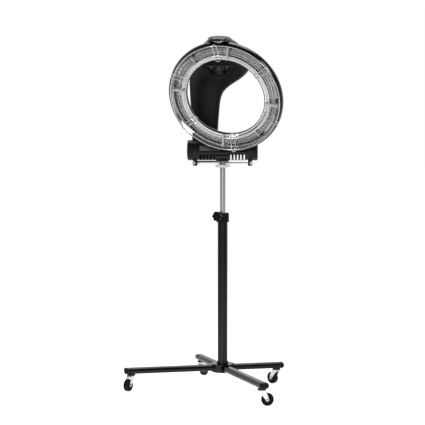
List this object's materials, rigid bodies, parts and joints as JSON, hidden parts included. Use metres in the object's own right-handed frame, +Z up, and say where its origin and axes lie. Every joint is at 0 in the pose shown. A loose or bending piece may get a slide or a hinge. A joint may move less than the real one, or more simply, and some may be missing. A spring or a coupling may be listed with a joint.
{
  "type": "hair color processor",
  "caption": "Rolling salon hair color processor: heater ring that orbits under a curved arm, on a tilting, swivelling, height-adjustable stand with casters.",
  "frame": {"origin": "on the floor under the column's axis", "axes": "+Z up along the column, -Y towards the client's side where the ring hangs, +X to the right of someone facing the ring"},
  "size_m": [0.6616, 0.6304, 1.4378],
  "materials": {
    "black_powder_coat": "satin powder coat",
    "black_abs": "fine satin moulding",
    "gloss_black": "gloss moulding",
    "chrome": "polished plating",
    "polished_aluminium": "polished reflector",
    "zinc": "bright zinc plate",
    "steel": "turned",
    "wheel_black": "moulded wheel",
    "black_nylon": "moulded nylon",
    "clear_nylon": "translucent nylon",
    "quartz": "clear fused quartz",
    "ceramic": "white ceramic",
    "display": "tinted window",
    "panel_silver": "satin panel frame",
    "board_green": "solder mask",
    "brass": "machined"
  },
  "bodies": {
    "base": {"base_hub": "black_powder_coat", "leg_left": "black_powder_coat", "leg_front": "black_powder_coat", "leg_right": "black_powder_coat", "leg_back": "black_powder_coat", "leg_end_caps": "black_nylon", "caster_stems": "steel", "tie_bolt": "steel", "column_tube": "black_powder_coat", "height_collar": "black_nylon", "collar_bush": "black_nylon"},
    "height_lock": {"height_knob": "black_nylon", "knob_stud": "steel"},
    "rod": {"rod_tube": "chrome", "rod_glide": "black_nylon", "rod_flange": "clear_nylon"},
    "swivel": {"swivel_post": "steel", "tilt_saddle": "black_powder_coat"},
    "head": {"unit_housing": "black_abs", "end_collars": "black_abs", "panel_bezel": "panel_silver", "display_window": "display", "circuit_board": "board_green", "power_module": "black_nylon", "power_inlet": "black_nylon", "handle_tube": "chrome", "arm_front_shell": "black_abs", "arm_rear_shell": "black_abs", "motor_cover": "gloss_black", "arm_frame": "steel", "hub_motor": "zinc", "flex_shaft": "steel", "hub_bearing": "brass"},
    "left_end_knob": {"end_knob_left": "black_abs"},
    "right_end_knob": {"end_knob_right": "black_abs"},
    "start": {"start_button": "black_nylon"},
    "timer": {"timer_button": "black_nylon"},
    "power": {"power_rocker": "gloss_black"},
    "worm": {"drive_worm": "steel"},
    "ring": {"ring_shell": "gloss_black", "ring_reflector": "polished_aluminium", "heater_tubes": "quartz", "heater_coils": "steel", "ceramic_holders": "ceramic", "wire_guards": "chrome", "ring_bracket": "zinc", "slip_ring": "brass", "hub_spindle": "steel"},
    "caster_left": {"caster_fork_left": "zinc", "caster_axle_left": "steel"},
    "wheel_left": {"caster_wheel_left": "wheel_black"},
    "caster_front": {"caster_fork_front": "zinc", "caster_axle_front": "steel"},
    "wheel_front": {"caster_wheel_front": "wheel_black"},
    "caster_right": {"caster_fork_right": "zinc", "caster_axle_right": "steel"},
    "wheel_right": {"caster_wheel_right": "wheel_black"},
    "caster_back": {"caster_fork_back": "zinc", "caster_axle_back": "steel"},
    "wheel_back": {"caster_wheel_back": "wheel_black"}
  },
  "joints": [
    {"name": "caster_swivel_left", "type": "hinge", "parent": "base", "child": "caster_left", "pos_m": [-0.37188, -0.09964, 0.06], "axis": [0, 0, 1], "continuous": true},
    {"name": "wheel_spin_left", "type": "hinge", "parent": "caster_left", "child": "wheel_left", "pos_m": [-0.3817, -0.11933, 0.025], "axis": [0.8949, -0.4462, 0], "continuous": true},
    {"name": "caster_swivel_front", "type": "hinge", "parent": "base", "child": "caster_front", "pos_m": [0.17179, -0.34455, 0.06], "axis": [0, 0, 1], "continuous": true},
    {"name": "wheel_spin_front", "type": "hinge", "parent": "caster_front", "child": "wheel_front", "pos_m": [0.19377, -0.34378, 0.025], "axis": [-0.0349, 0.9994, 0], "continuous": true},
    {"name": "caster_swivel_right", "type": "hinge", "parent": "base", "child": "caster_right", "pos_m": [0.22506, 0.0603, 0.06], "axis": [0, 0, 1], "continuous": true},
    {"name": "wheel_spin_right", "type": "hinge", "parent": "caster_right", "child": "wheel_right", "pos_m": [0.20858, 0.07488, 0.025], "axis": [-0.6626, -0.749, 0], "continuous": true},
    {"name": "caster_swivel_back", "type": "hinge", "parent": "base", "child": "caster_back", "pos_m": [-0.10396, 0.20852, 0.06], "axis": [0, 0, 1], "continuous": true},
    {"name": "wheel_spin_back", "type": "hinge", "parent": "caster_back", "child": "wheel_back", "pos_m": [-0.09296, 0.22757, 0.025], "axis": [-0.866, 0.5, 0], "continuous": true},
    {"name": "height_lock_turn", "type": "hinge", "parent": "base", "child": "height_lock", "pos_m": [-0.01315, -0.02696, 0.717], "axis": [-0.4384, -0.8988, 0], "range_deg": [-180, 180]},
    {"name": "rod_height", "type": "slide", "parent": "base", "child": "rod", "axis": [0, 0, 1], "range_m": [-0.16, 0.15]},
    {"name": "head_swivel", "type": "hinge", "parent": "rod", "child": "swivel", "pos_m": [0, 0, 0.935], "axis": [0, 0, 1], "range_deg": [-150, 150]},
    {"name": "head_tilt", "type": "hinge", "parent": "swivel", "child": "head", "pos_m": [0, 0, 0.988], "axis": [1, 0, 0], "range_deg": [-12, 20]},
    {"name": "left_knob_turn", "type": "hinge", "parent": "head", "child": "left_end_knob", "pos_m": [-0.13, 0, 0.988], "axis": [1, 0, 0], "range_deg": [-180, 180]},
    {"name": "right_knob_turn", "type": "hinge", "parent": "head", "child": "right_end_knob", "pos_m": [0.13, 0, 0.988], "axis": [1, 0, 0], "range_deg": [-180, 180]},
    {"name": "start_press", "type": "slide", "parent": "head", "child": "start", "axis": [0, 0.9781, -0.2079], "range_m": [0, 0.002], "stiffness_N_per_m": 300, "springref_m": -0.001},
    {"name": "timer_press", "type": "slide", "parent": "head", "child": "timer", "axis": [0, 0.9781, -0.2079], "range_m": [0, 0.002], "stiffness_N_per_m": 300, "springref_m": -0.001},
    {"name": "power_rock", "type": "hinge", "parent": "head", "child": "power", "pos_m": [0.072, -0.03228, 0.99486], "axis": [1, 0, 0], "range_deg": [-5, 5]},
    {"name": "ring_orbit", "type": "hinge", "parent": "head", "child": "ring", "pos_m": [0, -0.27, 1.42], "axis": [0, 0, 1], "continuous": true},
    {"name": "worm_spin", "type": "hinge", "parent": "head", "child": "worm", "pos_m": [0.0203, -0.27, 1.4286], "axis": [0, 1, 0], "continuous": true}
  ],
  "couplings": [
    {"joint": "worm_spin", "follows": "ring_orbit", "ratio": 30}
  ]
}
